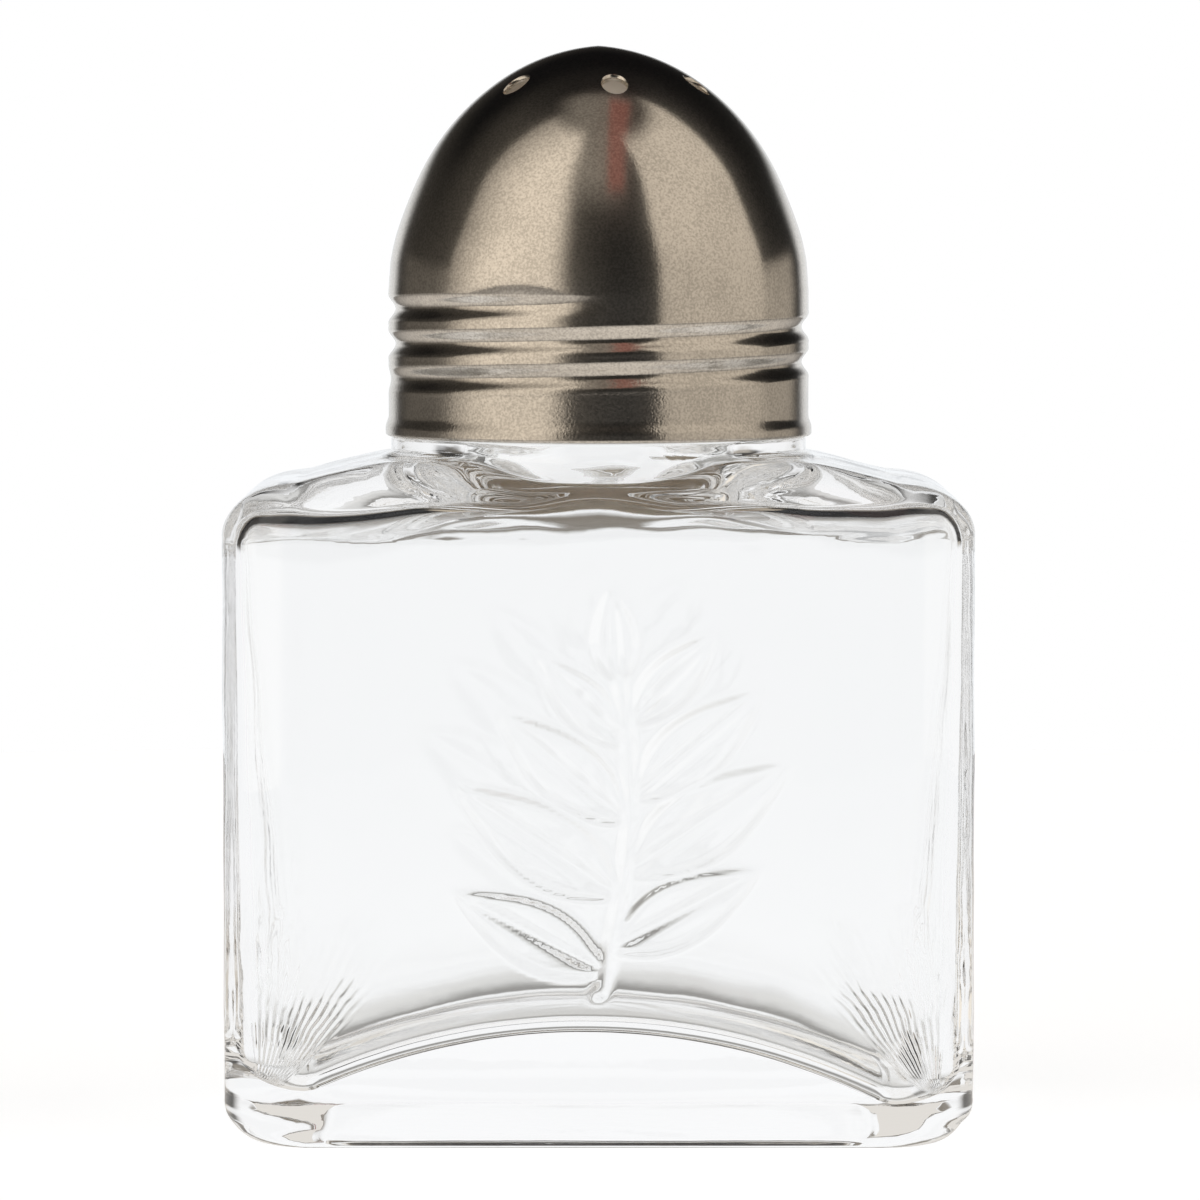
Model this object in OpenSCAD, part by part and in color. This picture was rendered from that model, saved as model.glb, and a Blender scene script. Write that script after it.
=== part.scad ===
// Salt shaker: a pressed glass bottle and a domed steel cap that screws onto its neck.
// Millimetres. The origin is the middle of the bottle's foot and +Z is up.
// X runs across the wide front face, and Y from the front face to the back one.

/* [Bottle] */
// Width across the front face
bottle_w = 52.6; // [46:0.2:64]
// Depth from the front face to the back face
bottle_d = 34; // [31:0.2:44]
// Height of the ledge that the cap's rim rests on
ledge_z = 48.8; // [38:0.2:60]
// Radius of the four upright edges
upright_r = 5.2; // [3.6:0.2:7]
// Radius of the edges round the shoulder
shoulder_r = 5.2; // [3.6:0.2:7]
// How far the shoulder falls from the collar to the side edges
shoulder_fall = 1.7; // [0.4:0.1:3]
// Radius of the edges round the foot
foot_r = 2.8; // [1:0.1:4]

/* [Glass thickness] */
// Thickness of the upright walls
wall_t = 3.1; // [2:0.1:4]
// Radius of the cavity's upright edges
inner_upright_r = 3.4; // [1.5:0.1:6]
// Thickness of the shoulder
shoulder_t = 3.2; // [2:0.1:4.5]
// Thickness of the base in the middle, where its top is domed
base_crown_t = 8; // [5:0.2:11]
// Thickness of the base at its two low corners
base_low_t = 2.7; // [2:0.1:4.5]
// Radius at the low corners of the cavity
low_corner_r = 2.4; // [1:0.1:4]
// Radius of the cavity's upper edges
ceiling_r = 2.6; // [1:0.1:4]
// Width of the flat land that the bottle stands on
land_w = 3; // [1.5:0.1:5]
// Depth of the hollow under the base
hollow_h = 0.6; // [0.2:0.1:1.2]

/* [Neck] */
// Height of the neck above the ledge
neck_h = 10.4; // [7:0.2:14]
// Thickness of the neck's wall behind its thread
neck_t = 2.9; // [1.6:0.1:4]
// Radius of the rounded lip
lip_r = 0.8; // [0.3:0.1:1.2]
// Height of the collar between the shoulder and the ledge
collar_h = 1.3; // [0.8:0.1:3]
// How far the collar stands in from the ledge's bead
collar_inset = 0.4; // [0:0.1:1]
// Height of the bead at the ledge
bead_h = 0.7; // [0.4:0.1:1.2]
// How far the glass thread stands out of the neck
neck_thread_h = 0.6; // [0.3:0.05:0.8]
// Width of the glass thread at its root
neck_thread_w = 1.6; // [1:0.1:2]
// Turns of the glass thread
neck_turns = 1.5; // [1:0.05:2]
// How far below the lip the glass thread starts
neck_thread_drop = 1.5; // [1.2:0.1:2]

/* [Cap] */
// Diameter of the cap's skirt
cap_d = 30; // [26:0.2:33]
// Thickness of the steel sheet
sheet_t = 0.4; // [0.3:0.05:0.6]
// Height of the upright skirt
skirt_h = 10.3; // [9:0.1:14]
// Height of the band at the rim that flares out
rim_h = 1.1; // [0.6:0.1:2]
// How far the rim flares out
rim_flare = 0.15; // [0:0.05:0.4]
// Radius of the bend above the skirt
bend_r = 14; // [8:0.5:20]
// Radius of the long flank
flank_r = 34; // [24:1:50]
// Radius of the round upper dome
dome_r = 17; // [12:0.5:22]

/* [Cap thread] */
// Pitch of the screw thread
pitch = 2.5; // [2:0.1:3]
// Turns of the groove rolled into the skirt
groove_turns = 2.15; // [1.5:0.05:2.3]
// Depth of the groove
groove_h = 0.45; // [0.2:0.05:0.6]
// Width of the groove at the skirt's surface
groove_w = 1.5; // [0.8:0.1:1.8]
// How far below the skirt's top the groove's upper end lies
groove_drop = 0.5; // [0:0.1:1.5]
// Room between the rolled thread and the glass thread
thread_gap = 0.15; // [0.1:0.05:0.3]

/* [Pouring holes] */
// Number of holes round the dome
hole_count = 6; // [4:1:8]
// Diameter of a hole
hole_d = 1.9; // [1:0.1:2.4]
// Radius of the ring of holes
hole_ring_r = 7.4; // [5:0.1:8.5]
// Turn of the first hole from the front, to the right
hole_turn = 8.7; // [0:0.1:60]

/* [Hidden] */

// Turn from +X to the front
FRONT = -90;
// Turning parts are drawn with this many sides
$fn = 96;
// Steps in a quarter of a round edge, and in one arc of the dome
EDGE_STEPS = 6;
ARC_STEPS = 7;
// Rings in one turn of a thread
TURN_STEPS = 36;
// Turn over which a thread's ends rise out of the surface
FADE = 40;
// How far a cutter or a buried face passes the surface it meets
PASS = 0.1;
// Lean of the dome's surface from upright where one arc hands over to the next, and at the tip
BEND_LEAN = 18.5;
FLANK_LEAN = 25;
DOME_LEAN = 57;
TIP_LEAN = 86;
// Width of a thread's crest as a share of its width at the root
CREST_SHARE = 0.3;

cap_r = cap_d / 2;
skirt_bore_r = cap_r - sheet_t;
rolled_crest_r = skirt_bore_r - groove_h;
neck_crest_r = rolled_crest_r - thread_gap;
neck_r = neck_crest_r - neck_thread_h;
mouth_r = neck_r - neck_t;
groove_top = skirt_h - groove_drop;
ledge_r = cap_r + rim_flare;
collar_r = ledge_r - collar_inset;
lip_z = ledge_z + neck_h;
// The glass thread lies half a pitch above the rolled one
neck_top_z = lip_z - neck_thread_drop;
neck_top_turn = FRONT + 360 * ((neck_top_z - ledge_z - groove_top) / pitch + 0.5);
shoulder_z = ledge_z - collar_h;

// Slope of the shoulder's top, from the collar to the side edges
shoulder_lean = atan(shoulder_fall / (bottle_w / 2 - collar_r - shoulder_r));
inner_w = bottle_w - 2 * wall_t;
inner_d = bottle_d - 2 * wall_t;
ceiling_z = shoulder_z - shoulder_t;
// The base's top is an arc through the two low corners and the crown
arch_rise = base_crown_t - base_low_t;
arch_half = inner_w / 2 - low_corner_r;
arch_r = (arch_half * arch_half + arch_rise * arch_rise) / (2 * arch_rise);

// Points of an arc about a centre, from one angle to another
function arc(centre, radius, from, to, steps = EDGE_STEPS) =
    [for (i = [0:steps]) let (a = from + (to - from) * i / steps)
        centre + radius * [cos(a), sin(a)]];

// Points mirrored to the other side of the upright axis, in the order that closes the outline
function mirrored(points) = [for (i = [len(points) - 1:-1:0]) [-points[i].x, points[i].y]];

// Points of a dome's arc that goes on from the last point, leaning in from one lean to another
function lean_arc(start, radius, from, to) =
    [for (i = [1:ARC_STEPS]) let (a = from + (to - from) * i / ARC_STEPS)
        start + radius * [cos(a) - cos(from), sin(a) - sin(from)]];

// Last point of a list
function last(points) = points[len(points) - 1];

// Dome from the top of the skirt to the tip, a given distance inside its outer face
function dome(inside) =
    let (bend = lean_arc([cap_r - inside, skirt_h], bend_r - inside, 0, BEND_LEAN))
    let (flank = lean_arc(last(bend), flank_r - inside, BEND_LEAN, FLANK_LEAN))
    let (upper = lean_arc(last(flank), dome_r - inside, FLANK_LEAN, DOME_LEAN))
    let (crown_r = last(upper).x / (cos(DOME_LEAN) - cos(TIP_LEAN)))
    let (crown = lean_arc(last(upper), crown_r, DOME_LEAN, TIP_LEAN))
    concat([[cap_r - inside, skirt_h]], bend, flank, upper,
        [for (i = [0:ARC_STEPS - 2]) crown[i]], [[0, last(crown).y]]);

// Rectangle with round corners
module rounded(w, d, r) {
    quarter = arc([w / 2 - r, d / 2 - r], r, 0, 90);
    half = concat(quarter, mirrored(quarter));
    polygon(concat(half, [for (p = half) -p]));
}

// Outline of the bottle from the front: round foot, upright sides, sloped shoulder
module front_outline() {
    edge_x = bottle_w / 2 - shoulder_r;
    edge_z = shoulder_z - (edge_x - collar_r) * tan(shoulder_lean) - shoulder_r / cos(shoulder_lean);
    right = concat(
        arc([bottle_w / 2 - foot_r, foot_r], foot_r, -90, 0),
        arc([edge_x, edge_z], shoulder_r, 0, 90 - shoulder_lean),
        [[collar_r, shoulder_z]]);
    polygon(concat(right, mirrored(right)));
}

// Outline of the bottle from the side
module side_outline() {
    right = concat(
        arc([bottle_d / 2 - foot_r, foot_r], foot_r, -90, 0),
        arc([bottle_d / 2 - shoulder_r, shoulder_z - shoulder_r], shoulder_r, 0, 90));
    polygon(concat(right, mirrored(right)));
}

// Outline of the cavity from the front: domed floor, round low corners, sloped ceiling
module cavity_front() {
    edge_x = inner_w / 2 - ceiling_r;
    edge_z = ceiling_z - (edge_x - mouth_r) * tan(shoulder_lean) - ceiling_r / cos(shoulder_lean);
    arch_half_turn = asin(arch_half / arch_r);
    floor_right = arc([0, base_crown_t - arch_r], arch_r, 90, 90 - arch_half_turn, 2 * EDGE_STEPS);
    right = concat(
        [for (i = [1:len(floor_right) - 2]) floor_right[i]],
        arc([arch_half, base_low_t + low_corner_r], low_corner_r, -90, 0),
        arc([edge_x, edge_z], ceiling_r, 0, 90 - shoulder_lean),
        [[mouth_r, ceiling_z]]);
    polygon(concat([floor_right[0]], right, mirrored(right)));
}

// Outline of the cavity from the side
module cavity_side() {
    right = concat(
        [[inner_d / 2, 0]],
        arc([inner_d / 2 - ceiling_r, ceiling_z - ceiling_r], ceiling_r, 0, 90));
    polygon(concat(right, mirrored(right)));
}

// An outline drawn in X and Z, drawn out along Y to both sides
module along_y(length) {
    rotate([90, 0, 0])
        linear_extrude(length, center = true)
            children();
}

// An outline drawn in Y and Z, drawn out along X to both sides
module along_x(length) {
    rotate([0, 0, 90])
        along_y(length)
            children();
}

// Solid bottle up to the shoulder
module body_solid() {
    intersection() {
        along_y(bottle_d) front_outline();
        along_x(bottle_w) side_outline();
        linear_extrude(shoulder_z) rounded(bottle_w, bottle_d, upright_r);
    }
}

// Hollow inside the bottle below the neck
module cavity() {
    intersection() {
        along_y(inner_d) cavity_front();
        along_x(inner_w) cavity_side();
        linear_extrude(ceiling_z) rounded(inner_w, inner_d, inner_upright_r);
    }
}

// Neck with its collar, its bead under the ledge and its round lip, turned about the axis
module neck_solid() {
    bead_r = bead_h / 2;
    rotate_extrude()
        polygon(concat(
            [[0, ceiling_z], [collar_r, ceiling_z]],
            [[collar_r, ledge_z - bead_h]],
            arc([ledge_r - bead_r, ledge_z - bead_r], bead_r, -60, 60),
            [[ledge_r - bead_r, ledge_z], [neck_r, ledge_z]],
            arc([neck_r - lip_r, lip_z - lip_r], lip_r, 0, 90),
            [[0, lip_z]]));
}

// One thread swept along a helix that climbs anticlockwise: a four-sided section with its crest
// at crest_r, standing on the surface at root_r and sinking into it at both ends
module thread(root_r, crest_r, width, turns, top_z, top_turn) {
    rings = round(turns * TURN_STEPS);
    crest_w = width * CREST_SHARE;
    side = crest_r > root_r ? 1 : -1;
    buried_r = root_r - side * PASS;
    sunk_r = root_r - side * PASS / 2;
    points = [for (i = [0:rings])
        let (back = 360 * turns * (1 - i / rings))
        let (rise = min(1, back / FADE, (360 * turns - back) / FADE))
        let (peak_r = sunk_r + (crest_r - sunk_r) * rise)
        for (p = [[buried_r, -width / 2], [peak_r, -crest_w / 2],
                  [peak_r, crest_w / 2], [buried_r, width / 2]])
            [p.x * cos(top_turn - back), p.x * sin(top_turn - back), top_z - pitch * back / 360 + p.y]];
    skin = [for (i = [0:rings - 1]) for (k = [0:3])
        let (near = 4 * i + k)
        let (next = 4 * i + (k + 1) % 4)
        for (face = [[near, near + 4, next + 4], [near, next + 4, next]]) face];
    end = 4 * rings;
    faces = concat(skin, [[0, 1, 2], [0, 2, 3], [end + 2, end + 1, end], [end + 3, end + 2, end]]);
    polyhedron(points, side < 0 ? faces : [for (f = faces) [f[2], f[1], f[0]]]);
}

module glass_bottle() {
    hollow_w = bottle_w - 2 * (foot_r + land_w);
    hollow_d = bottle_d - 2 * (foot_r + land_w);
    color([0.86, 0.91, 0.92, 0.6])
        difference() {
            union() {
                body_solid();
                neck_solid();
                thread(neck_r, neck_crest_r, neck_thread_w, neck_turns, neck_top_z, neck_top_turn);
            }
            cavity();
            translate([0, 0, ceiling_z - ceiling_r])
                cylinder(r = mouth_r, h = lip_z - ceiling_z + 2 * ceiling_r);
            translate([0, 0, -PASS])
                linear_extrude(hollow_h + PASS)
                    rounded(hollow_w, hollow_d, upright_r - foot_r);
        }
}

// Steel shell of the cap, before its thread and holes
module cap_shell() {
    inside = dome(sheet_t);
    rotate_extrude()
        polygon(concat(
            [[skirt_bore_r, 0], [ledge_r, 0], [ledge_r, rim_h / 2], [cap_r, rim_h]],
            dome(0),
            [for (i = [len(inside) - 1:-1:0]) inside[i]]));
}

module screw_cap() {
    color([0.72, 0.68, 0.62])
        translate([0, 0, ledge_z])
            difference() {
                union() {
                    cap_shell();
                    thread(skirt_bore_r, rolled_crest_r, groove_w + sheet_t, groove_turns, groove_top, FRONT);
                }
                thread(cap_r, cap_r - groove_h, groove_w, groove_turns, groove_top, FRONT);
                for (i = [0:hole_count - 1])
                    rotate(FRONT + hole_turn + 360 * i / hole_count)
                        translate([hole_ring_r, 0, skirt_h])
                            cylinder(d = hole_d, h = cap_d);
            }
}

glass_bottle();
screw_cap();
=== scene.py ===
"""Looks of a salt shaker: a pressed glass bottle with a leafy sprig in relief, and a satin steel screw cap.

Shapes are worked out in millimetres, round the bottle's upright axis, and go into the meshes in metres.
X runs across the wide front face, -Y is the front and +Z is up.
"""

import bpy
import numpy as np
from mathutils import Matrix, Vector


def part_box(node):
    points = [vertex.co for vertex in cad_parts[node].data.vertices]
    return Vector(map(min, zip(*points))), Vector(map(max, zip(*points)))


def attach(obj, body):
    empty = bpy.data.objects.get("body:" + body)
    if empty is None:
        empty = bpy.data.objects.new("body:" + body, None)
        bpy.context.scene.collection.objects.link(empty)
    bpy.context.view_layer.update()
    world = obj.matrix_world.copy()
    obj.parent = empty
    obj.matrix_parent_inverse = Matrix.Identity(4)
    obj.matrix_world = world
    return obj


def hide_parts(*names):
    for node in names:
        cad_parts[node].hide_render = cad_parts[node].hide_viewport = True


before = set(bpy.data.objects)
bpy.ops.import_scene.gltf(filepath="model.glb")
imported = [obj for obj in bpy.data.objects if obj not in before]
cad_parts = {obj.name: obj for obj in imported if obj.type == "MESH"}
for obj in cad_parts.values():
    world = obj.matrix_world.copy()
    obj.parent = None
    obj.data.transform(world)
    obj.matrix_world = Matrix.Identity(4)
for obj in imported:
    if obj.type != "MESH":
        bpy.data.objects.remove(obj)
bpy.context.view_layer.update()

MM = 0.001
FRONT = -np.pi / 2
FULL_TURN = 2 * np.pi
DEGREES = 180 / np.pi

# Room inside the solid for the relief and the ripples
RELIEF_H = 0.4
WAVE_ROOM = 0.1

# Sizes taken from the frame
BOTTLE_HIGH = np.array(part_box("glass_bottle")[1]) / MM
CAP_LOW, CAP_HIGH = (np.array(corner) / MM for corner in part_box("screw_cap"))
HALF_W = BOTTLE_HIGH[0] - WAVE_ROOM
HALF_D = BOTTLE_HIGH[1] - WAVE_ROOM - RELIEF_H
LIP_Z = BOTTLE_HIGH[2]
LEDGE_Z = CAP_LOW[2]
RIM_R = CAP_HIGH[0]

# Bottle outside
EDGE_R = 5.2
FOOT_H = 2.7
FOOT_SIDE = 3.2
FOOT_FACE = 0.5
LAND_W = 3.0
HOLLOW_H = 0.5
HOLLOW_R = 2.2
COLLAR_R = RIM_R - 0.4
COLLAR_H = 1.3
LEDGE_ROUND = 0.25
FILLET_R = 0.35
SHOULDER_Z = LEDGE_Z - COLLAR_H
SHOULDER_LEAN = np.radians(15)
LEAN_FROM, LEAN_FULL = 12.0, 18.0
NECK_R = 13.4
NECK_THREAD_H = 0.6
NECK_THREAD_W = 1.6
NECK_THREAD_TURNS = 1.5
NECK_THREAD_DROP = 1.5
NECK_THREAD_FADE = 0.1
LIP_R = 0.8

# Bottle inside
SIDE_WALL_T = 1.8
FACE_WALL_T = 3.1
CAVITY_W = HALF_W - SIDE_WALL_T
CAVITY_D = HALF_D - FACE_WALL_T
CEILING_LOW_Z = SHOULDER_Z - 5.7
CEILING_TILT = 0.005
SIDE_RISE = 1.5
MIDDLE_RISE = 2.2
MIDDLE_FULL, MIDDLE_FROM = 8.0, 22.0
MOUTH_R = 9.6
MOUTH_FILLET = 4.0
INNER_R = 1.6
LOW_HALF_W = HALF_W - 2.5
LOW_R = 3.0
LOW_EDGE_R = LOW_R + 0.4
CROWN_Z = 7.6
ARCH_R = 46.0
ARCH_TILT = -0.022

# Sprig in relief: the front one, and the share of its height that the back one has
SPRIG_RAISE = 1.5
BACK_SHARE = 0.5
STEM_FOOT_Z, STEM_TOP_Z = 9.0, 31.0
STEM_SWAY = 2.2
STEM_BEND = 9.0
STEM_HALF_W = 0.75
STEM_EDGE = 0.6
LEAF_LENGTHS = (12.5, 14.5, 12.5, 9.5)
LEAF_SLIM = 0.2
LEAF_FIRST_Z = 11.5
LEAF_STEP_Z = 5.2
LEAF_STAGGER = 0.8
LEAF_LEAN, LEAF_LEAN_STEP = 62, 6
LEAF_EDGE = 0.7
LEAF_GROOVE_H = 0.55
LEAF_GROOVE_W = 0.35
TOP_LEAF_Z = 30.5
TOP_LEAF_ANGLE = np.radians(95)
TOP_LEAF_LENGTH = 7.5
TOP_LEAF_W = 1.8

# Fans of fine lines in the cavity's lower corners: they fade in and out by lean, in radians, and by reach
FAN_X = 22.9
FAN_Z = 2.8
FAN_LINES = 95.0
FAN_DEPTH = 0.04
FAN_LEAN_IN, FAN_LEAN_OUT = (-0.15, 0), (0.55, 0.8)
FAN_REACH_IN, FAN_REACH_OUT = (0.5 * MM, 2 * MM), (6 * MM, 15.5 * MM)

# How far ripples move each region of the glass, and how long they are
UNDER_WAVE = 0.02
FOOT_WAVE = 0.01
CORNER_WAVE = 0.18
CORNER_FROM, CORNER_FULL = 17.0, 21.0
WALL_WAVE = 0.012
SIDE_WAVE = 0.035
SIDE_FROM, SIDE_FULL = 21.5, 24.5
SHOULDER_WAVE = 0.09
COLLAR_WAVE = 0.01
CEILING_WAVE = 0.08
INNER_WAVE = 0.025
ARCH_WAVE = 0.03
LONG_RIPPLE, SHORT_RIPPLE = 12.0, 5.0
LONG_SHARE = 0.7

# Cap. Each arc of the dome has a radius, and a lean in degrees where it starts and where it ends.
SKIRT_R = RIM_R - 0.22
SHEET_T = 0.4
SKIRT_H = 10.3
SKIRT_LOW = 0.25
RIM_H = 1.1
DOME_ARCS = ((14.0, 0.0, 18.5), (34.0, 18.5, 25.0), (17.0, 25.0, 57.0))
DOME_STEPS = 200
TIP_LEAN = 86.0
TIP_RING_R = 0.25
PITCH = 2.5
GROOVE_START = np.radians(5)
GROOVE_TURNS = 2.335
GROOVE_TOP = 9.64
GROOVE_H = 0.5
GROOVE_W = 2.15
GROOVE_FADE_IN = np.radians(34) / FULL_TURN
GROOVE_FADE_OUT = np.radians(70) / FULL_TURN
BEAD_RISE = 0.05
BEAD_W = 2.6
HOLE_COUNT = 6
HOLE_R = 0.95
HOLE_RING_R = 7.4
HOLE_TURN = np.radians(8.7)

# Grid of the cap: columns, and cells from a hole's middle to its edge and to where the grid is plain again
COLS = 300
CELL = FULL_TURN / COLS * HOLE_RING_R
HOLE_CELLS = 5
BLOCK = 11


def smooth(x, low, high):
    """0 below low, 1 above high, and an S-shaped cubic between them."""
    t = np.clip((x - low) / (high - low), 0, 1)
    return t * t * (3 - 2 * t)


def arc(centre, radius, start, end, steps):
    """Points of an arc about a centre, from one angle to another in degrees."""
    angle = np.radians(np.linspace(start, end, steps + 1))
    return centre + circle(angle, radius)


def circle(angle, radius):
    """Points in plan at a radius, one for each angle."""
    return radius * np.stack([np.cos(angle), np.sin(angle)], axis=-1)


def lifted(plan, z):
    """Points in plan, each at its height. Rows or columns that only one of the two has are repeated."""
    shape = np.broadcast_shapes(plan.shape[:-1], np.shape(z))
    height = np.broadcast_to(z, shape)[..., None]
    return np.concatenate([np.broadcast_to(plan, shape + (2,)), height], axis=-1)


def ring(angle, radius, z):
    """Round rows about the axis: one row for each pair of radius and height, one column for each angle."""
    radius, z = np.broadcast_arrays(np.asarray(radius, float), np.asarray(z, float))
    return lifted(circle(angle, 1)[None] * radius[..., None], z)


def ripples(points, seed, wavelength, waves=14):
    """A field between about -1 and 1: sine waves of like length that run in random directions."""
    rng = np.random.default_rng(seed)
    direction = rng.normal(size=(waves, 3))
    direction /= np.linalg.norm(direction, axis=1, keepdims=True)
    number = FULL_TURN / (wavelength * rng.uniform(0.7, 1.5, waves))
    phase = rng.uniform(0, FULL_TURN, waves)
    return np.sin(points @ (direction * number[:, None]).T + phase).sum(axis=-1) / np.sqrt(waves)


def strip(near, far):
    """Four-sided faces between closed rows of point numbers and the rows after them."""
    return np.stack([near, np.roll(near, -1, -1), np.roll(far, -1, -1), far], axis=-1).reshape(-1, 4)


def zipped(near, near_places, far, far_places):
    """Triangles between two closed rows with different columns. The columns of both rows are taken in order
    of their places, and each makes a triangle with the latest column before it in either row."""
    order = np.argsort(np.concatenate([near_places, far_places]), kind="stable")
    is_near = order < len(near)
    a = near[np.cumsum(is_near) - 1]
    b = far[np.cumsum(~is_near) - 1]
    return np.stack([np.roll(a, 1), np.where(is_near, a, b), np.roll(b, 1)], axis=1)


class Skin:
    """A closed surface made of rows of points. Each row runs once round the axis, anticlockwise as seen
    from above."""

    def __init__(self):
        self.points = []
        self.quads = []
        self.triangles = []
        self.amount = []
        self.count = 0
        self.row = None
        self.places = None

    def add_rows(self, rows, places, amount=0.0):
        """Join rows of points, given as an array (row, column, xyz), to the row before. Places are the
        columns' parameters: where they differ from the row before, a strip of triangles joins the two rows.
        Amount is how far ripples move these points."""
        height, width = rows.shape[:2]
        index = self.count + np.arange(height * width).reshape(height, width)
        joined = index
        if self.row is not None and len(self.places) == width:
            joined = np.vstack([self.row, index])
        elif self.row is not None:
            self.triangles.append(zipped(self.row, self.places, index[0], places))
        self.quads.append(strip(joined[:-1], joined[1:]))
        self.points.append(rows.reshape(-1, 3))
        self.amount.append(np.broadcast_to(amount, (height, width)).reshape(-1))
        self.count += height * width
        self.row, self.places = index[-1], places
        return index

    def add_pole(self, point, row, flip=False):
        """Close a row with a fan of triangles to one point."""
        pole = np.full(len(row), self.count)
        fan = np.stack([row, np.roll(row, -1), pole], axis=1)
        self.triangles.append(fan[:, ::-1] if flip else fan)
        self.points.append(np.array([point], float))
        self.amount.append(np.zeros(1))
        self.count += 1

    def arrays(self):
        """All points, the faces with four corners and with three, and each point's amount."""
        return (np.concatenate(self.points), np.concatenate(self.quads), np.concatenate(self.triangles),
                np.concatenate(self.amount))


def vertex_normals(points, quads, triangles):
    """Unit normals of the points: the sum of the normals of the faces around each."""
    normals = np.zeros_like(points)
    for faces in (quads, triangles):
        corner = points[faces]
        normal = np.cross(corner[:, 2] - corner[:, 0], corner[:, -1] - corner[:, 1])
        for k in range(faces.shape[1]):
            np.add.at(normals, faces[:, k], normal)
    return normals / np.maximum(np.linalg.norm(normals, axis=1, keepdims=True), 1e-12)


def make_piece(name, points, faces, material, marks=None):
    """A smooth-shaded mesh object at the origin, from points in millimetres. Marks are one number for each
    point, which the material can read."""
    mesh = bpy.data.meshes.new(name)
    mesh.from_pydata(points * MM, [], faces)
    mesh.shade_smooth()
    mesh.materials.append(material)
    if marks is not None:
        mesh.attributes.new("mark", "FLOAT", "POINT").data.foreach_set("value", marks)
    piece = bpy.data.objects.new(name, mesh)
    bpy.context.scene.collection.objects.link(piece)
    return piece


# Bottle

def columns(front, side, back, corner, crowd=0.0):
    """Places round the bottle's outline, from 0 to 8: flats lie between even and odd whole numbers, corners
    between odd and even ones. Crowd from 0 to 1 draws the columns of a flat towards its ends."""
    places = []
    for segment, count in enumerate((front, corner, side, corner, back, corner, side, corner)):
        t = np.arange(count) / count
        crowded = 0.5 - 0.5 * np.cos(np.pi * t)
        places.append(segment + (t if segment % 2 else (1 - crowd) * t + crowd * crowded))
    return np.concatenate(places)


def outline(places, half_w, half_d, radius):
    """Rounded rectangle in plan: the corner of an inner rectangle, moved along the flat, plus the radius
    times the outward direction, which turns only in the corners."""
    signs = np.array([[-1, -1], [1, -1], [1, 1], [-1, 1], [-1, -1]])
    corner = signs * [half_w - radius, half_d - radius]
    side = np.floor(places / 2).astype(int)
    along = places - 2 * side
    turn = FRONT + np.pi / 2 * (side + np.clip(along - 1, 0, 1))
    centre = corner[side] + (corner[side + 1] - corner[side]) * np.clip(along, 0, 1)[:, None]
    return centre + circle(turn, radius)


def edge_reach(x, y, half_w, half_d, radius):
    """How far a point lies out over a rounded edge: 0 inside the flat, 1 on the rounded rectangle."""
    dx = np.maximum(np.abs(x) - (half_w - radius), 0)
    dy = np.maximum(np.abs(y) - (half_d - radius), 0)
    return np.clip(np.hypot(dx, dy) / radius, 0, 1)


def fillet(x, y, tube_r, radius):
    """How far a fillet lifts a surface round an upright tube: nothing at a distance of its radius, its
    radius at the tube, and a quarter of a circle between."""
    reach = np.clip(radius - (np.hypot(x, y) - tube_r), 0, radius)
    return radius - np.sqrt(radius ** 2 - reach ** 2)


def shoulder_height(x, y):
    """Height of the shoulder: a ridge that is level near the collar and leans down to the sides, above an
    edge that stays level. From ridge to edge it falls as a quarter of an ellipse."""
    edge_z = SHOULDER_Z - EDGE_R
    px = np.minimum(np.abs(x), HALF_W - EDGE_R)
    t = np.clip((px - LEAN_FROM) / (LEAN_FULL - LEAN_FROM), 0, 1)
    run = (LEAN_FULL - LEAN_FROM) * (t ** 3 - t ** 4 / 2) + np.maximum(px - LEAN_FULL, 0)
    ridge_z = SHOULDER_Z - np.tan(SHOULDER_LEAN) * run
    return edge_z + (ridge_z - edge_z) * np.sqrt(1 - edge_reach(x, y, HALF_W, HALF_D, EDGE_R) ** 2)


def ceiling_height(x, y):
    """Height of the cavity's ceiling: from a level line along the walls it rises as a quarter of an
    ellipse, higher in the middle than at the sides, and then has a round edge into the mouth."""
    middle = 1 - smooth(np.abs(x), MIDDLE_FULL, MIDDLE_FROM)
    most = SIDE_RISE + (MIDDLE_RISE - SIDE_RISE) * middle
    rise = most * np.sqrt(1 - edge_reach(x, y, CAVITY_W, CAVITY_D, INNER_R) ** 2)
    return CEILING_LOW_Z + CEILING_TILT * x + rise + fillet(x, y, MOUTH_R, MOUTH_FILLET)


def arch_height(x, y):
    """Height of the cavity's floor: an arch of a circle across the width, with a round channel along the
    walls. The channel is where a ball rests that rolls along the arch against a wall, and stops at the end
    wall."""
    centre_x = LOW_HALF_W - LOW_R
    last_x = centre_x / (1 + LOW_R / ARCH_R)
    slope = np.sqrt(1 - (last_x / ARCH_R) ** 2)
    centre_z = CROWN_Z - ARCH_R * (1 - slope) + LOW_R * slope
    u = np.abs(x)
    dy = np.maximum(np.abs(y) - (CAVITY_D - LOW_R), 0)
    side = np.sqrt(np.maximum(LOW_R ** 2 - dy ** 2, 0))
    px = np.minimum(u / (1 + (LOW_R - side) / ARCH_R), last_x)
    level = np.sqrt(1 - (px / ARCH_R) ** 2)
    arch = CROWN_Z - ARCH_R * (1 - level) + (LOW_R - side) * level
    dx = u - centre_x
    over = dx + (centre_x - last_x) * side / LOW_R
    end = centre_z - np.sqrt(np.maximum(LOW_R ** 2 - dy ** 2 - dx ** 2, 0))
    return np.where(over > 0, end, arch) + ARCH_TILT * x


def stem_x(z):
    """How far the stem sways aside at a height: part of a sine wave."""
    return STEM_SWAY * np.sin((z - STEM_FOOT_Z) / STEM_BEND)


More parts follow.
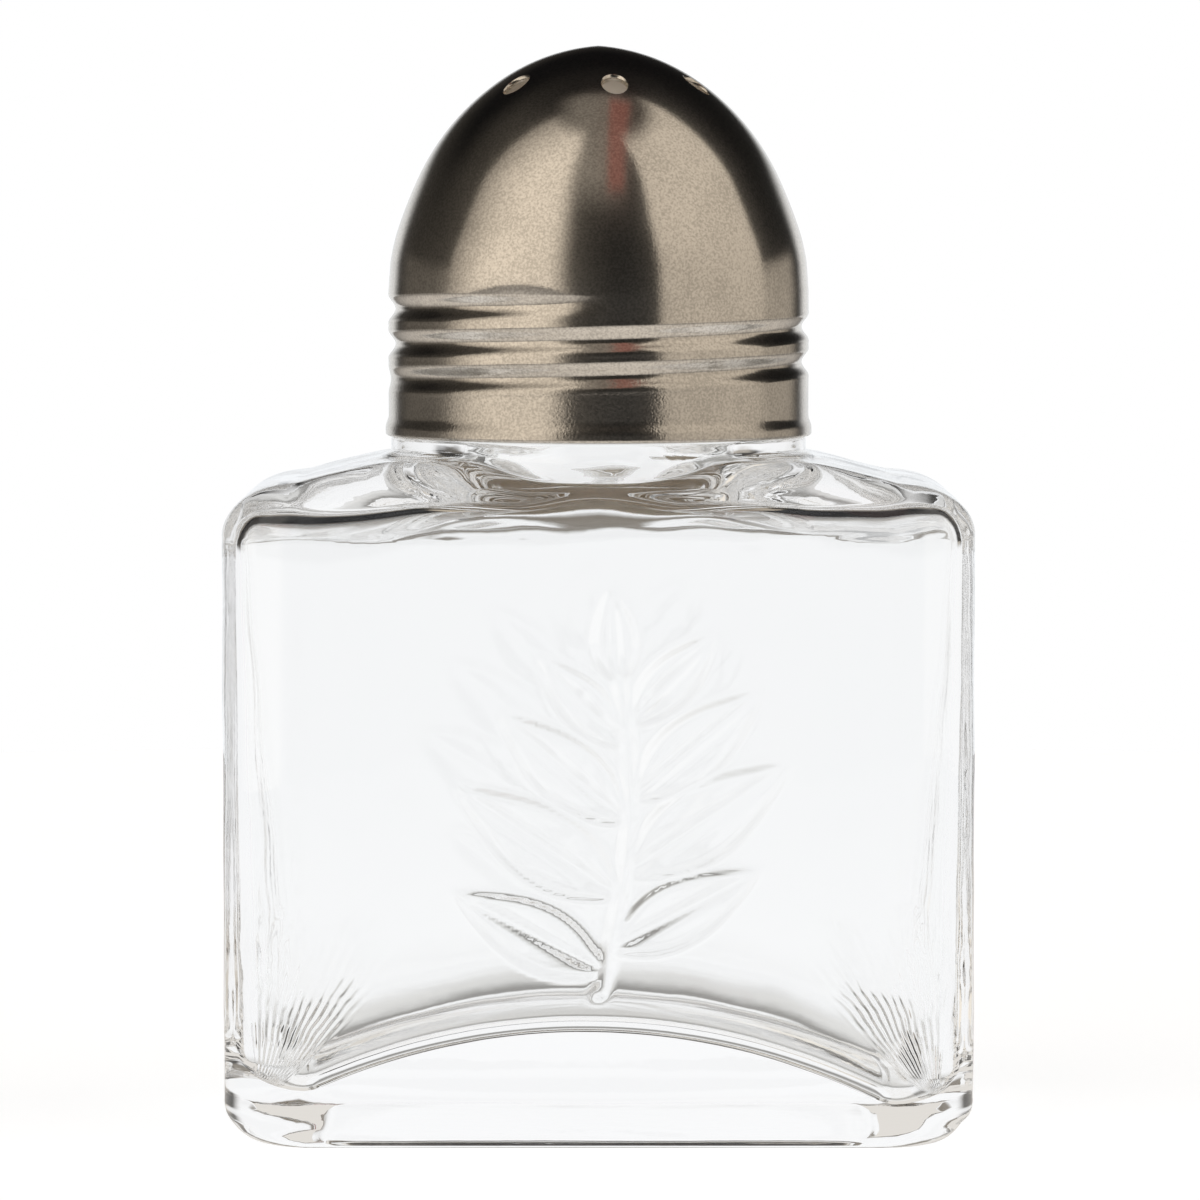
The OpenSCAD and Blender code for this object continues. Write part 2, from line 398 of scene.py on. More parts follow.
def leaf(x, z, root, angle, length, width):
    """Height of one leaf in relief, from 0 to about 1: a pad with soft edges, widest below its middle, with
    a groove along its middle."""
    along = (x - root[0]) * np.cos(angle) + (z - root[1]) * np.sin(angle)
    across = (z - root[1]) * np.cos(angle) - (x - root[0]) * np.sin(angle)
    s = np.clip(along / length, 0, 1)
    half = width * np.sin(np.pi * s ** 0.8)
    pad = smooth(half - np.abs(across), 0, LEAF_EDGE)
    return pad * (1 - LEAF_GROOVE_H * np.exp(-(across / LEAF_GROOVE_W) ** 2))


def sprig(x, z, mirror=1):
    """Height of the sprig in relief, from 0 to about 1: the highest of a curved stem and its leaves."""
    x, z = x * mirror, z - SPRIG_RAISE
    height = smooth(STEM_HALF_W - np.abs(x - stem_x(z)), 0, STEM_EDGE)
    height = height * smooth(z, STEM_FOOT_Z - 0.5, STEM_FOOT_Z + 0.5)
    height = height * (1 - smooth(z, STEM_TOP_Z - 1, STEM_TOP_Z + 1))
    for step, length in enumerate(LEAF_LENGTHS):
        root_z = LEAF_FIRST_Z + LEAF_STEP_Z * step
        lean = np.radians(LEAF_LEAN - LEAF_LEAN_STEP * step)
        for side in (-1, 1):
            root = (stem_x(root_z), root_z + side * LEAF_STAGGER)
            pad = leaf(x, z, root, np.pi / 2 - side * lean, length, LEAF_SLIM * length)
            height = np.maximum(height, pad)
    root = (stem_x(STEM_TOP_Z), TOP_LEAF_Z)
    return np.maximum(height, leaf(x, z, root, TOP_LEAF_ANGLE, TOP_LEAF_LENGTH, TOP_LEAF_W))


def wall_relief(points):
    """Move the points of the outer wall outwards by the height of the relief on the front and the back."""
    x, y, z = np.moveaxis(points, -1, 0)
    front = RELIEF_H * sprig(x, z) * (y < 0)
    back = BACK_SHARE * RELIEF_H * sprig(x, z, -1) * (y > 0)
    return np.stack([x, y - front + back, z], axis=-1)


def neck_thread(angle, z):
    """How far the glass thread stands out: a round ridge along a helix that sinks in at both ends."""
    top = LIP_Z - NECK_THREAD_DROP
    height = np.zeros(np.broadcast(angle, z).shape)
    turns = (angle - FRONT) % FULL_TURN / FULL_TURN
    for lap in range(3):
        back = lap + 1 - turns
        off = (z - (top - PITCH * back)) / (NECK_THREAD_W / 2)
        share = smooth(back, 0, NECK_THREAD_FADE)
        share = share * (1 - smooth(back, NECK_THREAD_TURNS - NECK_THREAD_FADE, NECK_THREAD_TURNS))
        height = np.maximum(height, share * np.cos(np.pi / 2 * np.clip(off, -1, 1)) ** 1.2)
    return NECK_THREAD_H * height


def add_underside(skin, places):
    """The hollow under the base, as an outline drawn in towards the middle, the land round it, and the
    foot, whose rows follow a quarter of an ellipse up to the wall."""
    hollow = outline(places, HALF_W - FOOT_SIDE - LAND_W, HALF_D - FOOT_FACE - LAND_W, HOLLOW_R)
    share = np.concatenate([np.linspace(0.08, 0.93, 8), np.linspace(0.945, 1, 6)])[:, None]
    z = HOLLOW_H * (1 - smooth(share, 0.94, 1))
    index = skin.add_rows(lifted(hollow * share[..., None], z), places, UNDER_WAVE * (share < 0.9))
    skin.add_pole((0, 0, HOLLOW_H), index[0], flip=True)
    for out, up in arc((0, 1), 1, -90, 0, 12):
        side, face, z = FOOT_SIDE * (1 - out), FOOT_FACE * (1 - out), FOOT_H * up
        row = outline(places, HALF_W - side, HALF_D - face, EDGE_R - (side + face) / 2)
        corner = smooth(np.abs(row[:, 0]), CORNER_FROM, CORNER_FULL)
        corner = corner * smooth(z, 0, 1.2) * smooth(1 - out, 0, 0.2)
        skin.add_rows(lifted(row, z)[None], places, FOOT_WAVE * smooth(z, 0, 2) + CORNER_WAVE * corner)


def add_wall(skin, places):
    """The outer wall with its relief, as one outline at heights from the foot to the shoulder's edge."""
    plan = outline(places, HALF_W, HALF_D, EDGE_R)
    top = shoulder_height(plan[:, 0], plan[:, 1])
    ends = np.linspace(0.01, 0.1, 6), np.linspace(0.95, 0.995, 5)
    share = np.concatenate([ends[0], np.linspace(0.12, 0.94, 118), ends[1]])
    z = FOOT_H + (top - FOOT_H) * share[:, None]
    side = smooth(np.abs(plan[:, 0]), SIDE_FROM, SIDE_FULL)
    skin.add_rows(wall_relief(lifted(plan, z)), places, WALL_WAVE + SIDE_WAVE * side)


def add_shoulder(skin, places):
    """The shoulder, from the wall's outline to the collar's circle, with rows close together where it turns
    over. Gives the angles of its columns and their heights at the collar."""
    rim = outline(places, HALF_W, HALF_D, EDGE_R)
    angle = np.arctan2(rim[:, 1], rim[:, 0])
    t = np.linspace(0, 1, 27)[:, None, None]
    share = 0.5 * (1 - np.cos(t * np.pi / 2)) + 0.5 * t ** 2
    plan = rim + (circle(angle, COLLAR_R) - rim) * share
    x, y = np.moveaxis(plan, -1, 0)
    z = shoulder_height(x, y) + fillet(x, y, COLLAR_R, FILLET_R)
    skin.add_rows(lifted(plan, z), places, SHOULDER_WAVE)
    return angle, z[-1]


def add_neck(skin, places, angle, collar_z):
    """Collar, ledge, neck with its thread, lip and bore, as rings about the axis."""
    share = np.linspace(0.2, 1, 5)[:, None]
    collar_rows = collar_z + (LEDGE_Z - LEDGE_ROUND - collar_z) * share
    skin.add_rows(ring(angle, COLLAR_R, collar_rows), places, COLLAR_WAVE)
    edge = arc((COLLAR_R - LEDGE_ROUND, LEDGE_Z - LEDGE_ROUND), LEDGE_ROUND, 15, 90, 5)
    skin.add_rows(ring(angle, edge[:, :1], edge[:, 1:]), places)
    neck_z = np.linspace(LEDGE_Z, LIP_Z - LIP_R, 26)[:, None]
    skin.add_rows(ring(angle, NECK_R + neck_thread(angle, neck_z), neck_z), places)
    lip = np.concatenate([arc((NECK_R - LIP_R, LIP_Z - LIP_R), LIP_R, 15, 90, 6),
                          arc((MOUTH_R + LIP_R, LIP_Z - LIP_R), LIP_R, 90, 180, 6)])
    skin.add_rows(ring(angle, lip[:, :1], lip[:, 1:]), places)
    mouth = circle(angle, MOUTH_R)
    drop = ceiling_height(mouth[:, 0], mouth[:, 1]) - (LIP_Z - LIP_R)
    skin.add_rows(ring(angle, MOUTH_R, LIP_Z - LIP_R + drop * np.linspace(0.1, 1, 8)[:, None]), places)


def add_ceiling(skin, places):
    """The cavity's ceiling, from the mouth's circle to the walls' outline. Gives that outline and its
    heights."""
    rim = outline(places, CAVITY_W, CAVITY_D, INNER_R)
    mouth = circle(np.arctan2(rim[:, 1], rim[:, 0]), MOUTH_R)
    share = 0.5 - 0.5 * np.cos(np.linspace(0.04, 1, 28) * np.pi)[:, None, None]
    plan = mouth + (rim - mouth) * share
    z = ceiling_height(plan[..., 0], plan[..., 1])
    skin.add_rows(lifted(plan, z), places, CEILING_WAVE)
    return rim, z[-1]


def add_cavity(skin, places, rim, rim_z):
    """The inner wall, straight from the ceiling's outline to the floor's, and the floor, as that outline
    drawn in towards the middle."""
    low = outline(places, LOW_HALF_W, CAVITY_D, LOW_EDGE_R)
    share = np.linspace(0.02, 0.985, 52)[:, None] ** 0.8
    z = rim_z + (arch_height(low[:, 0], low[:, 1]) - rim_z) * share
    skin.add_rows(lifted(rim + (low - rim) * share[..., None], z), places, INNER_WAVE)
    plan = low * np.cos(np.linspace(0, 0.96, 30) * np.pi / 2)[:, None, None]
    index = skin.add_rows(lifted(plan, arch_height(plan[..., 0], plan[..., 1])), places, ARCH_WAVE)
    skin.add_pole((0, 0, CROWN_Z), index[-1])


def glass_bottle(material):
    """The bottle as one closed skin, from the middle of its underside over the outside, the lip and the
    inside to the middle of the cavity's floor. Ripples move its points along their normals."""
    skin = Skin()
    coarse = columns(front=40, side=20, back=40, corner=10)
    fine = columns(front=156, side=22, back=80, corner=11)
    inside = columns(front=90, side=50, back=90, corner=14, crowd=0.7)
    add_underside(skin, coarse)
    add_wall(skin, fine)
    angle, collar_z = add_shoulder(skin, coarse)
    add_neck(skin, coarse, angle, collar_z)
    rim, rim_z = add_ceiling(skin, inside)
    first_inside = skin.count
    add_cavity(skin, inside, rim, rim_z)
    points, quads, triangles, amount = skin.arrays()
    normals = vertex_normals(points, quads, triangles)
    long, short = ripples(points, 3, LONG_RIPPLE), ripples(points, 5, SHORT_RIPPLE)
    shift = amount * (LONG_SHARE * long + (1 - LONG_SHARE) * short)
    points = points + normals * shift[:, None]
    inner_face = (np.arange(len(points)) >= first_inside).astype(float)
    faces = quads.tolist() + triangles.tolist()
    return make_piece("glass_bottle_shell", points, faces, material, inner_face)


# Cap

def dome_profile(inside):
    """Radius and height of the dome from the top of the skirt to the tip, as arcs that each start in the
    direction in which the one before ends, drawn a given distance inside the outer face. The last arc's
    radius is the one that ends on the axis."""
    r, z = SKIRT_R - inside, SKIRT_H
    leans = [(radius - inside, start, end) for radius, start, end in DOME_ARCS]
    leans.append((None, DOME_ARCS[-1][2], TIP_LEAN))
    parts = []
    for radius, start, end in leans:
        lean = np.radians(np.linspace(start, end, DOME_STEPS + 1))
        if radius is None:
            radius = r / (np.cos(lean[0]) - np.cos(lean[-1]))
        move = circle(lean[1:], radius) - circle(lean[0], radius)
        parts.append(move + [r, z])
        r, z = parts[-1][-1]
    return np.concatenate(parts)


def rolled_thread(angle, z):
    """How far the rolled thread moves the skirt outwards: a round valley along a helix that climbs to the
    right, between two low beads, all fading at the helix's ends."""
    valley = np.zeros(np.broadcast(angle, z).shape)
    bead = np.zeros_like(valley)
    turns = (angle - FRONT - GROOVE_START) % FULL_TURN / FULL_TURN
    for lap in range(4):
        back = lap - turns
        off = np.abs(z - (GROOVE_TOP - PITCH * back))
        share = smooth(back, 0, GROOVE_FADE_IN)
        share = share * (1 - smooth(back, GROOVE_TURNS - GROOVE_FADE_OUT, GROOVE_TURNS))
        valley = np.maximum(valley, share * np.cos(np.pi / 2 * np.clip(2 * off / GROOVE_W, 0, 1)) ** 2)
        bead = np.maximum(bead, share * (1 - smooth(off, GROOVE_W / 3, BEAD_W / 2)))
    return BEAD_RISE * bead - (GROOVE_H + BEAD_RISE) * valley


def hole_columns():
    """The column through the middle of each hole."""
    return np.arange(HOLE_COUNT) * COLS // HOLE_COUNT


def round_holes(plan, angle, middle):
    """Draw the dome's grid, in plan, from squares into circles round each hole: a square of cells goes onto
    the hole's edge at its own bearing, fully up to the edge and less and less out to the block's border."""
    cells = np.arange(-BLOCK, BLOCK + 1)
    across, down = np.meshgrid(cells, cells)
    size = np.maximum(np.abs(across), np.abs(down))
    share = np.clip((BLOCK - size) / (BLOCK - HOLE_CELLS), 0, 1)[..., None]
    bearing = circle(np.arctan2(across, -down), HOLE_R)
    for column in hole_columns():
        block = np.ix_(middle + cells, (column + cells) % COLS)
        radial = circle(angle[column], 1)
        sideways = np.array([-radial[1], radial[0]])
        edge = HOLE_RING_R * radial + bearing[..., :1] * radial + bearing[..., 1:] * sideways
        plan[block] = plan[block] + (edge - plan[block]) * smooth(share, 0, 1)


def cap_face(angle, inside, skirt_rows, dome_rows):
    """Rows of the outer or the inner face from the rim to the tip: the skirt with its flared rim and rolled
    thread, and the dome. Gives the rows, the row through the middles of the holes, and the tip's height."""
    z = np.linspace(SKIRT_LOW, SKIRT_H, skirt_rows)[:, None]
    flare = (RIM_R - SKIRT_R) * (1 - smooth(z, 0.5 * RIM_H, 1.3 * RIM_H))
    radius = SKIRT_R - inside + flare * (inside == 0) + rolled_thread(angle, z)
    skirt = ring(angle, radius, z + LEDGE_Z)
    profile = dome_profile(inside)[::-1] + [0, LEDGE_Z]
    outer_r = np.linspace(profile[-1, 0], HOLE_RING_R + CELL * (BLOCK + 1), dome_rows)[1:]
    hole_r = HOLE_RING_R + CELL * np.arange(BLOCK, -BLOCK - 1, -1)
    tip_r = np.linspace(HOLE_RING_R - CELL * (BLOCK + 1), TIP_RING_R, 12)
    plan = circle(angle, np.concatenate([outer_r, hole_r, tip_r])[:, None, None])
    middle = len(outer_r) + BLOCK
    round_holes(plan, angle, middle)
    height = np.interp(np.hypot(plan[..., 0], plan[..., 1]), profile[:, 0], profile[:, 1])
    return np.concatenate([skirt, lifted(plan, height)]), len(skirt) + middle, profile[0, 1]


def screw_cap(material):
    """The cap as one closed skin: the hem, the outer face from the rim to the tip, the inner face back
    down, and the walls of the holes."""
    angle = FRONT + HOLE_TURN + FULL_TURN * np.arange(COLS) / COLS
    places = np.arange(COLS)
    outer, outer_hole, outer_tip = cap_face(angle, 0.0, 68, 40)
    inner, inner_hole, inner_tip = cap_face(angle, SHEET_T, 40, 22)
    inner_hole = len(inner) - 1 - inner_hole
    hem = arc((RIM_R - SHEET_T / 2, LEDGE_Z + SHEET_T / 2), SHEET_T / 2, -180, 0, 8)
    skin = Skin()
    index_hem = skin.add_rows(ring(angle, hem[:, :1], hem[:, 1:]), places)
    index_outer = skin.add_rows(outer, places)
    skin.add_pole((0, 0, outer_tip), index_outer[-1])
    skin.row = None
    index_inner = skin.add_rows(inner[::-1], places)
    skin.add_pole((0, 0, inner_tip), index_inner[0], flip=True)
    points, quads, triangles, _ = skin.arrays()
    new_quads = [strip(index_inner[-1], index_hem[0])]

    # Mark the points inside each hole, and join the hole's two edges by a wall
    out = np.zeros(len(points), bool)
    cells = np.arange(-HOLE_CELLS, HOLE_CELLS)
    edge = np.full(2 * HOLE_CELLS, HOLE_CELLS)
    down = np.concatenate([-edge, cells, edge, -cells])
    across = np.concatenate([cells, edge, -cells, -edge])
    core = np.arange(-HOLE_CELLS + 1, HOLE_CELLS)
    for column in hole_columns():
        top = index_outer[outer_hole + down, (column + across) % COLS]
        under = index_inner[inner_hole - down, (column + across) % COLS]
        new_quads.append(strip(top, under))
        core_columns = (column + core) % COLS
        out[index_outer[np.ix_(outer_hole + core, core_columns)]] = True
        out[index_inner[np.ix_(inner_hole + core, core_columns)]] = True

    # Take those points out, with every face that has one
    quads = np.concatenate([quads[~out[quads].any(axis=1)], *new_quads])
    new_index = np.cumsum(~out) - 1
    faces = new_index[quads].tolist() + new_index[triangles].tolist()
    inner_face = np.zeros(len(points))
    inner_face[index_inner] = 1
    return make_piece("screw_cap_shell", points[~out], faces, material, inner_face[~out])


# Materials and light, written as expressions on shader sockets

class Wire:
    """A shader socket that takes part in sums: an expression adds the Math nodes for it."""

    def __init__(self, shader, socket):
        self.shader = shader
        self.socket = socket

    def math(self, operation, *values):
        """One Math node with the given values."""
        return self.shader.add("ShaderNodeMath", {"operation": operation}, dict(enumerate(values)))

    def __add__(self, other):
        return self.math("ADD", self, other)

    def __sub__(self, other):
        return self.math("SUBTRACT", self, other)

    def __rsub__(self, other):
        return self.math("SUBTRACT", other, self)

    def __mul__(self, other):
        return self.math("MULTIPLY", self, other)

    def __truediv__(self, other):
        return self.math("DIVIDE", self, other)

    def __neg__(self):
        return self.math("MULTIPLY", self, -1)

    __radd__ = __add__
    __rmul__ = __mul__

    def size(self):
        """The value without its sign."""
        return self.math("ABSOLUTE", self)

    def root(self):
        """The square root."""
        return self.math("SQRT", self)

    def bearing(self, other):
        """The angle whose tangent is this value over another, in radians."""
        return self.math("ARCTAN2", self, other)

    def rise(self, low, high):
        """0 below low, 1 above high and smooth between."""
        return self.shader.add("ShaderNodeMapRange", {"interpolation_type": "SMOOTHSTEP"},
                               {"Value": self, "From Min": low, "From Max": high})

    def fall(self, low, high):
        """1 below low, 0 above high and smooth between."""
        return 1 - self.rise(low, high)


class Shader:
    """A node tree that is built by expressions."""

    def __init__(self, owner):
        owner.use_nodes = True
        self.tree = owner.node_tree
        self.tree.nodes.clear()

    def add(self, kind, settings=None, sockets=None, output=0):
        """Add a node of a type: its settings first, then the values or links of its sockets. Gives one of
        its outputs, where it has any."""
        node = self.tree.nodes.new(kind)
        for name, value in (settings or {}).items():
            setattr(node, name, value)
        for name, value in (sockets or {}).items():
            if isinstance(value, Wire):
                self.tree.links.new(value.socket, node.inputs[name])
            else:
                node.inputs[name].default_value = value
        return Wire(self, node.outputs[output]) if len(node.outputs) else None

    def coordinates(self, kind):
        """A vector of texture coordinates."""
        return self.add("ShaderNodeTexCoord", None, None, kind)

    def ray(self, kind):
        """1 for rays of a kind, 0 for others."""
        return self.add("ShaderNodeLightPath", None, None, kind)

    def mark(self):
        """The number that the mesh holds for each point."""
        return self.add("ShaderNodeAttribute", {"attribute_name": "mark"}, None, "Fac")

    def split(self, vector):
        """The three numbers of a vector."""
        first = self.add("ShaderNodeSeparateXYZ", None, {0: vector})
        return [Wire(self, socket) for socket in first.socket.node.outputs]

    def mix(self, share, a, b):
        """A colour between two. The node's colour sockets are numbers 6 and 7, and its result is 2."""
        return self.add("ShaderNodeMix", {"data_type": "RGBA"}, {0: share, 6: a, 7: b}, 2)

    def blend(self, share, a, b):
        """A shader between two."""
        return self.add("ShaderNodeMixShader", None, {0: share, 1: a, 2: b})

    def noise(self, vector, scale, detail=2.0):
        """Noise between about 0 and 1."""
        return self.add("ShaderNodeTexNoise", None, {"Vector": vector, "Scale": scale, "Detail": detail})

    def finish(self, surface, kind="ShaderNodeOutputMaterial"):
        """Link the tree's last shader to its output."""
        self.add(kind, None, {"Surface": surface})


WHITE = (1, 1, 1, 1)

# Glass
GLASS_TINT = (0.982, 0.988, 0.986, 1)
GLASS_CLEAR = (0.992, 0.994, 0.992, 1)
GLASS_SHADOW = (0.9, 0.91, 0.91, 1)

# Steel
STEEL_DEEP = (0.56, 0.515, 0.455, 1)
STEEL_PALE = (0.82, 0.755, 0.67, 1)
# Tone of the painted shade low on the skirt
STEEL_PAINTED_SHADE = (0.2, 0.19, 0.18, 1)
STEEL_INSIDE = (0.86, 0.76, 0.64, 1)
STEEL_GRAIN_H = 0.03
SOFT_ROUGHNESS = 0.28
SOFT_SHARE = 0.27

# Studio
WARM = (0.96, 0.88, 0.77, 1)
COOL = (0.92, 0.945, 0.97, 1)
TABLE_TONE = (0.47, 0.45, 0.42, 1)
DARK_LEFT = (0.04, 0.037, 0.033, 1)
DARK_RIGHT = (0.015, 0.015, 0.015, 1)
DARK_TOP = (0.004, 0.004, 0.005, 1)
DULL_RED = (0.30, 0.10, 0.08, 1)
BENT_WHITE = (0.975, 0.978, 0.99, 1)
BENT_PALE = (0.75, 0.745, 0.735, 1)
BENT_GREY = (0.29, 0.283, 0.272, 1)
BENT_DIM = (0.24, 0.215, 0.185, 1)

# Floor and camera
FLOOR_R = 300.0
FLOOR_SIDES = 96
FLOOR_COLOUR = (0.76, 0.8, 0.86, 1)
FLOOR_LIFT = 0.79
# Painted glow of the floor in reflections, near the shaker and far out
FLOOR_GLOW_NEAR = (0.76, 0.73, 0.69, 1)
FLOOR_GLOW_FAR = (0.2, 0.19, 0.18, 1)
SENSOR_W = 36
LENS = 201.5
CAMERA_PLACE = (0, -0.478, 0.0688)
CAMERA_AIM = (0.0001, 0, 0.037)


def clear_glass():
    """Clear pressed glass with faint waves. On the marked inner face, fans of fine lines are sine waves of
    the angle about a point in each lower corner. Shadow rays pass through, so that the shadow stays
    pale."""
    material = bpy.data.materials.new("clear_glass")
    shader = Shader(material)
    position = shader.coordinates("Object")
    tint = shader.mix(shader.noise(position, 160.0), GLASS_TINT, GLASS_CLEAR)
    waves = shader.add("ShaderNodeBump", None,
                       {"Strength": 0.008, "Distance": MM, "Height": shader.noise(position, 500.0)})
    x, _, z = shader.split(position)
    run = FAN_X * MM - x.size()
    up = z - FAN_Z * MM
    lean = run.bearing(up)
    reach = (run * run + up * up).root()
    fan = shader.mark() * lean.rise(*FAN_LEAN_IN) * lean.fall(*FAN_LEAN_OUT)
    fan = fan * reach.rise(*FAN_REACH_IN) * reach.fall(*FAN_REACH_OUT)
    uneven = 0.4 + 0.6 * shader.noise(position, 350.0).rise(0.4, 0.6)
    lines = fan * uneven * lean.math("SINE", lean * FAN_LINES + 9 * shader.noise(position, 300.0))
    waves = shader.add("ShaderNodeBump", None,
                       {"Strength": 1.0, "Distance": FAN_DEPTH * MM, "Height": lines, "Normal": waves})
    glass = shader.add("ShaderNodeBsdfPrincipled", None,
                       {"Base Color": tint, "Roughness": 0.0, "IOR": 1.5, "Transmission Weight": 1.0,
                        "Normal": waves})
    through = shader.add("ShaderNodeBsdfTransparent", None, {"Color": GLASS_SHADOW})
    shader.finish(shader.blend(shader.ray("Is Shadow Ray"), glass, through))
    return material


def satin_steel():
    """Drawn stainless steel with a warm satin finish: fine grain, strongest low on the skirt, painted shade
    that darkens the colour low on the skirt, hairlines that run up the dome, and faint clouds. A sharp and
    a soft gloss are mixed, and the inside is dull."""
    material = bpy.data.materials.new("satin_steel")
    shader = Shader(material)
    position = shader.coordinates("Object")
    x, y, z = shader.split(position)
    reach = (x * x + y * y).root() + 0.002
    drawn_out = {0: x / reach * 150, 1: y / reach * 150, 2: z * 900}
    hairs = shader.noise(shader.add("ShaderNodeCombineXYZ", None, drawn_out), 1.0, 1.0).rise(0.68, 0.78)
    cloud = shader.noise(position, 260.0, 3.0)
    grain = shader.noise(position, 6000.0, 1.0)
    low = z.fall((LEDGE_Z + 2) * MM, (LEDGE_Z + 9) * MM)
    inner = shader.mark().rise(0.4, 0.9)
    tone = 0.3 * cloud + 0.7 * grain
    colour = shader.mix(tone.rise(0.34, 0.66), STEEL_DEEP, STEEL_PALE)
    # Painted shade: the colour darkens towards a shade tone low on the skirt
    colour = shader.mix(0.15 * low, colour, STEEL_PAINTED_SHADE)
    colour = shader.mix(inner, colour, STEEL_INSIDE)
    roughness = 0.08 + 0.04 * cloud + 0.03 * low + 0.03 * hairs + 0.4 * inner
    height = grain * (0.3 + 0.7 * low) + 0.06 * hairs
    bump = shader.add("ShaderNodeBump", None,
                      {"Strength": 0.35, "Distance": STEEL_GRAIN_H * MM, "Height": height})
    look = {"Base Color": colour, "Metallic": 1 - 0.6 * inner, "Normal": bump}
    sharp = shader.add("ShaderNodeBsdfPrincipled", None, {**look, "Roughness": roughness})
    soft = shader.add("ShaderNodeBsdfPrincipled", None, {**look, "Roughness": SOFT_ROUGHNESS})
    shader.finish(shader.blend(SOFT_SHARE, sharp, soft))
    return material


def studio_light(shader):
    """Light of the studio by direction: two tall warm soft boxes beside the camera, a cool low backdrop
    behind, a pale table below, dark gaps between them and a dark ceiling with a dull red streak. Gives the
    light for reflections and the paler light that glass bends. Turn is in degrees, to the right from the
    camera, and height in degrees above the level. y grows from the camera's side to the back."""
    x, y, z = shader.split(shader.coordinates("Generated"))
    turn = x.bearing(-y) * DEGREES
    aside = turn.size()
    height = z.math("ARCSINE", z) * DEGREES
    behind = aside.rise(141, 155)

    # Soft boxes, which reach further back near the level
    level = 0.7 * height.fall(4, 10) * y.fall(0.6, 0.8)
    right_end = y.fall(0.19, 0.25) + level * y.rise(0.19, 0.25)
    left_end = y.fall(-0.04, 0.03) + level * y.rise(-0.04, 0.03)
    right = turn.rise(31, 37) * right_end * height.fall(62, 74) * (0.62 + 0.12 * height.rise(5, 40))
    left = turn.fall(-30, -13) * left_end * height.fall(68, 78) * (0.12 + 0.88 * y.fall(-0.5, 0.22))

    # Dark parts, with a faint light and the streak on the ceiling
    ceiling = x.size().fall(0.12, 0.34) * z.rise(0.62, 0.78) * y.fall(0.1, 0.24)
    streak = x.rise(0.06, 0.1) * x.fall(0.2, 0.26) * z.rise(0.70, 0.74) * y.fall(0.05, 0.2)
    dark = shader.mix(x.rise(-0.3, 0.3), DARK_LEFT, DARK_RIGHT)
    dark = shader.mix(height.rise(50, 75), dark, DARK_TOP)
    dark = shader.mix(height.rise(12, 35) * y.rise(0.2, 0.6), dark, DARK_TOP)
    dark = shader.mix(0.22 * ceiling, dark, WARM)
    dark = shader.mix(0.8 * streak, dark, DULL_RED)

    # What reflections show
    table = height.fall(-14, -6) * (0.08 + 0.92 * aside.rise(20, 45))
    colour = shader.mix(table, dark, TABLE_TONE)
    colour = shader.mix(right + left, colour, WARM)
    mirrored = shader.mix(behind * height.fall(5, 16), colour, COOL)

    # What bent rays show: dim above the backdrop, and from white to grey and back to white below the level
    bent = shader.mix(0.015, colour, BENT_WHITE)
    bent = shader.mix(behind * height.fall(30, 42), bent, BENT_DIM)
    bent = shader.mix(behind * height.fall(11, 21), bent, BENT_WHITE)
    low = shader.mix(height.fall(-27, -12), BENT_WHITE, BENT_PALE)
    low = shader.mix(height.fall(-44, -26), low, BENT_GREY)
    low = shader.mix(height.fall(-57, -47), low, BENT_WHITE)
    return mirrored, shader.mix(height.fall(0, 4), bent, low)


def set_world():
    """White for the camera, the studio for reflections, and the paler studio for what glass bends."""
    world = bpy.data.worlds.new("studio")
    bpy.context.scene.world = world
    shader = Shader(world)
    mirrored, bent = studio_light(shader)
    unseen = shader.mix(shader.ray("Is Transmission Ray"), mirrored, bent)
    colour = shader.mix(shader.ray("Is Camera Ray"), unseen, WHITE)
    background = shader.add("ShaderNodeBackground", None, {"Color": colour, "Strength": 1.0})
    shader.finish(background, "ShaderNodeOutputWorld")


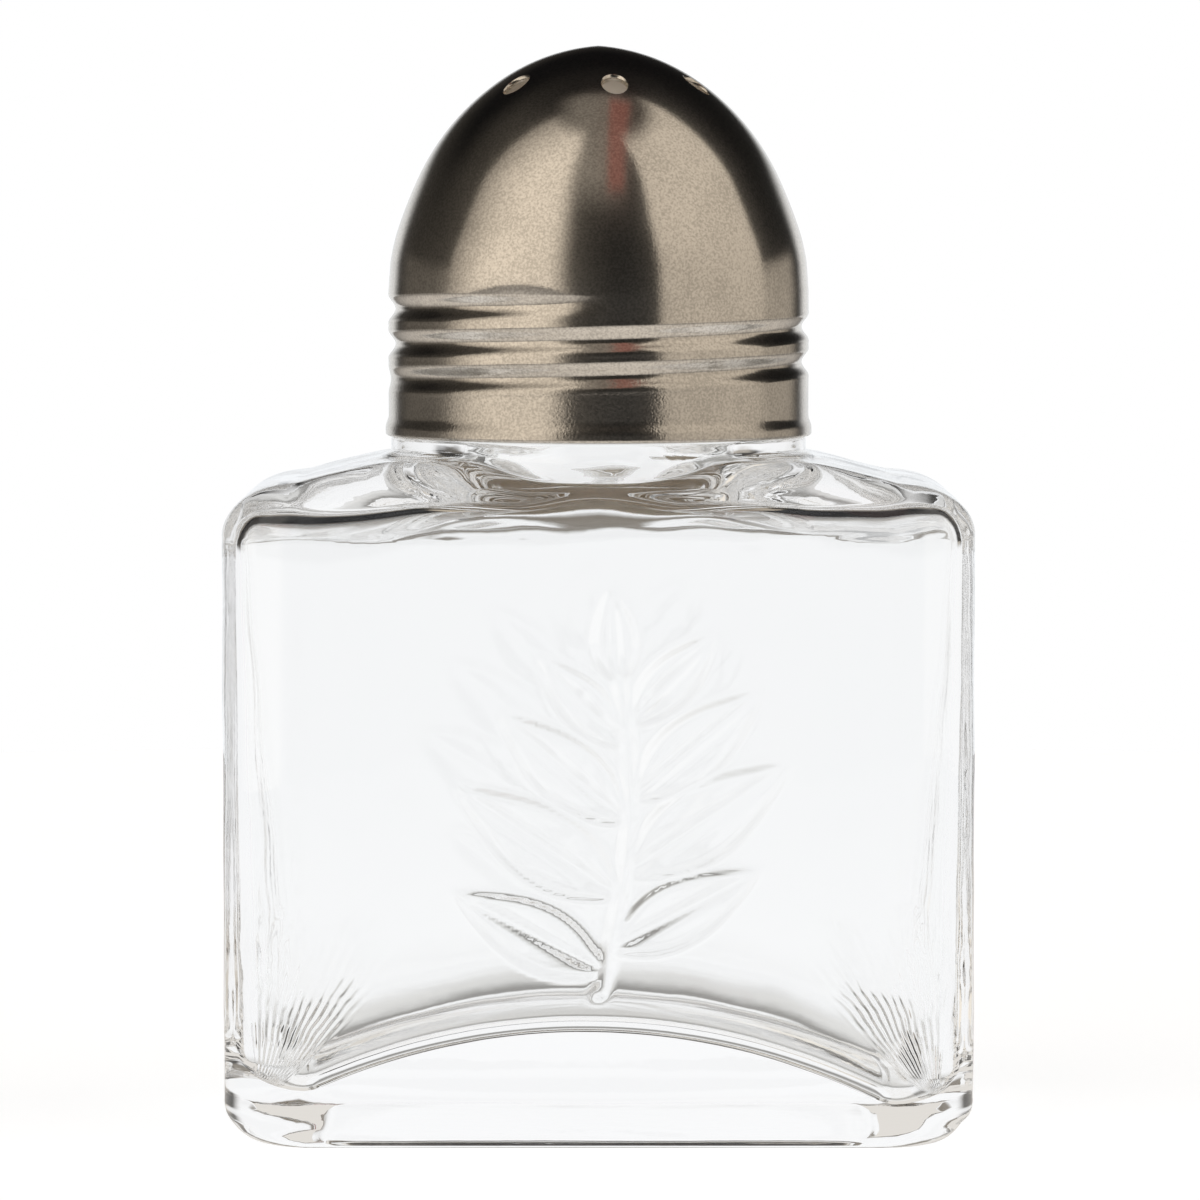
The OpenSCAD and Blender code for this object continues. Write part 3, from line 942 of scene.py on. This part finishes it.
def floor_material():
    """White floor. The camera sees it lit, with the shaker's soft shadow, and lifted to plain white.
    Mirrored rays see a painted glow in its place, bright near the shaker and darker further out, and rays
    that glass bends pass through to the studio's table."""
    material = bpy.data.materials.new("floor")
    shader = Shader(material)
    diffuse = shader.add("ShaderNodeBsdfDiffuse", None, {"Color": FLOOR_COLOUR})
    lift = shader.add("ShaderNodeEmission", None, {"Color": WHITE, "Strength": FLOOR_LIFT})
    lit = shader.add("ShaderNodeAddShader", None, {0: diffuse, 1: lift})
    across, depth, _ = shader.split(shader.coordinates("Object"))
    away = (across * across + depth * depth).root()
    # Painted light: for mirrored rays the floor glows, darker further from the shaker
    colour = shader.mix(away.rise(0.03, 0.28), FLOOR_GLOW_NEAR, FLOOR_GLOW_FAR)
    painted_glow = shader.add("ShaderNodeEmission", None, {"Color": colour, "Strength": 1.0})
    clear = shader.add("ShaderNodeBsdfTransparent")
    solid = shader.blend(shader.ray("Is Glossy Ray"), lit, painted_glow)
    shader.finish(shader.blend(shader.ray("Is Transmission Ray"), solid, clear))
    return material


def add_floor():
    """A round floor under the shaker."""
    angle = FULL_TURN * np.arange(FLOOR_SIDES) / FLOOR_SIDES
    points = lifted(circle(angle, FLOOR_R), 0.0)
    floor = make_piece("floor", points, [list(range(FLOOR_SIDES))], floor_material())


def add_camera():
    """The photograph's view: a long lens at the height of the cap's dome, tilted a little down."""
    data = bpy.data.cameras.new("camera")
    data.sensor_width = SENSOR_W
    data.lens = LENS
    camera = bpy.data.objects.new("camera", data)
    bpy.context.scene.collection.objects.link(camera)
    camera.location = CAMERA_PLACE
    aim = Vector(CAMERA_AIM) - camera.location
    camera.rotation_euler = aim.to_track_quat("-Z", "Y").to_euler()
    bpy.context.scene.camera = camera


bottle = glass_bottle(clear_glass())
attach(bottle, "bottle")
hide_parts("glass_bottle")
cap = screw_cap(satin_steel())
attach(cap, "cap")
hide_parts("screw_cap")

add_floor()
add_camera()
set_world()
scene = bpy.context.scene
scene.view_settings.view_transform = "Standard"
scene.cycles.max_bounces = 40
scene.cycles.glossy_bounces = 24
scene.cycles.transmission_bounces = 32
